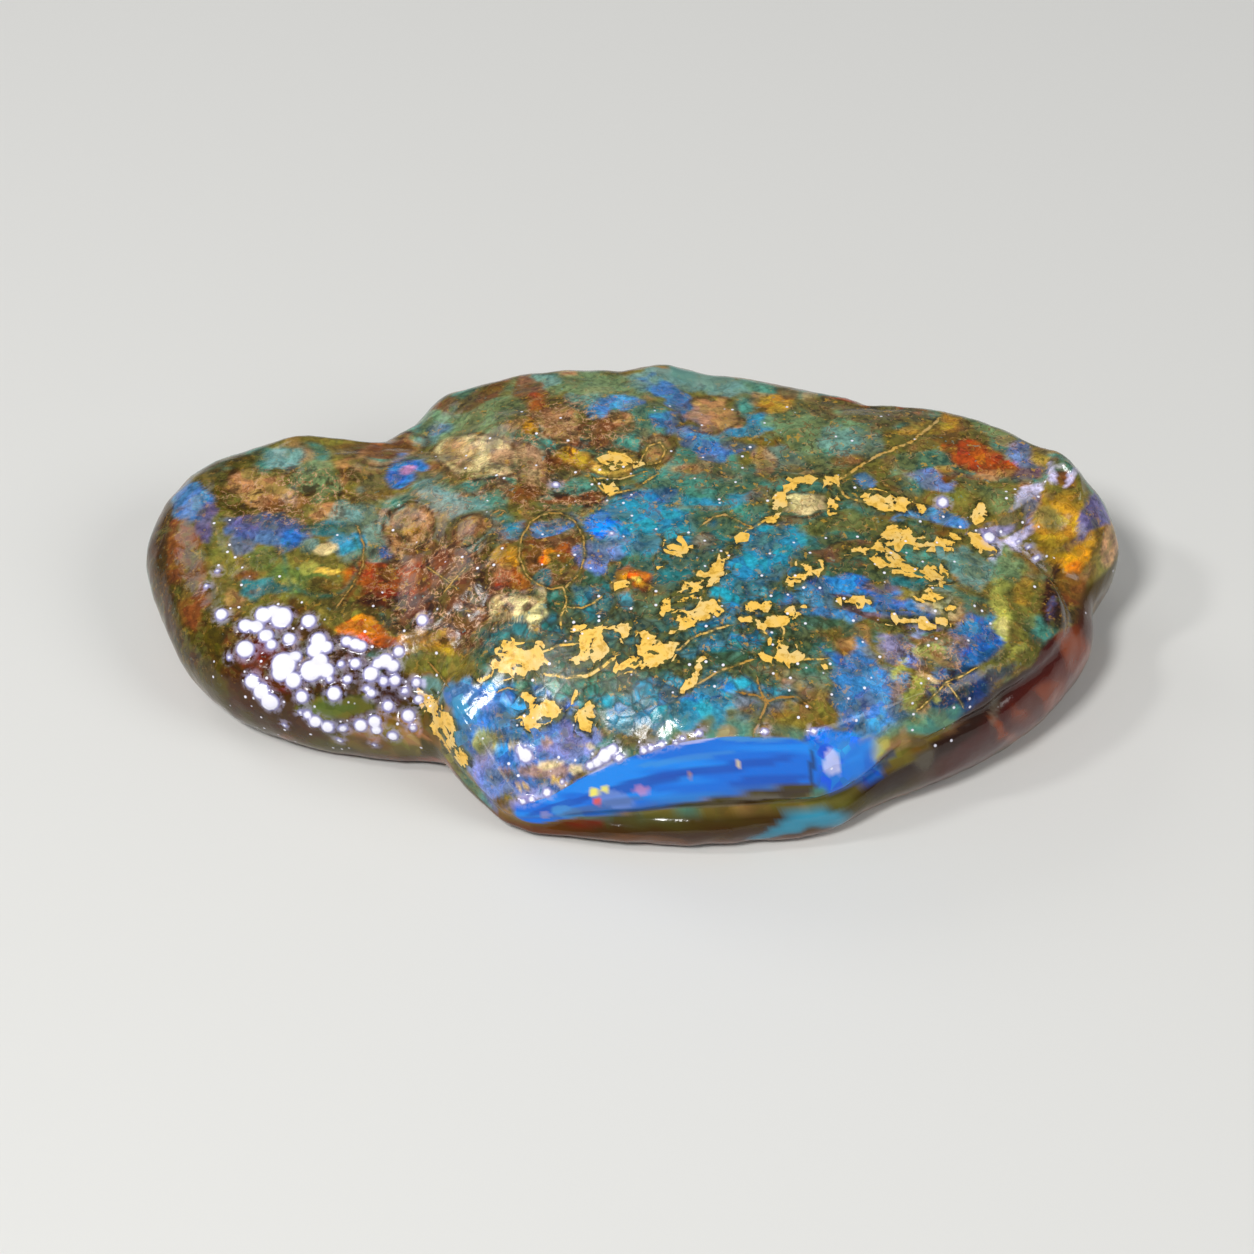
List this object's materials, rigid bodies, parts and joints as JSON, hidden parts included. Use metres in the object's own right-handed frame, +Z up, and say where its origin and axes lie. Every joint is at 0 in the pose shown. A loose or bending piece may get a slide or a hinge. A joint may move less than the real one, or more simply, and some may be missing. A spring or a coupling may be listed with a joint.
{
  "type": "rough amber specimen",
  "caption": "Two-lobed slab of polished blue amber with a stepped front, a flat bevel, a beaded left lobe and a flat underside to rest on",
  "frame": {"origin": "middle of the bounding box in plan, on the flat underside", "axes": "+X along the length towards the pointed right tip, +Y away from the bevelled front, +Z up through the thickness"},
  "size_m": [0.062, 0.0358, 0.0116],
  "materials": {
    "amber": "polished"
  },
  "bodies": {
    "root": {"amber_stone": "amber"}
  },
  "joints": []
}
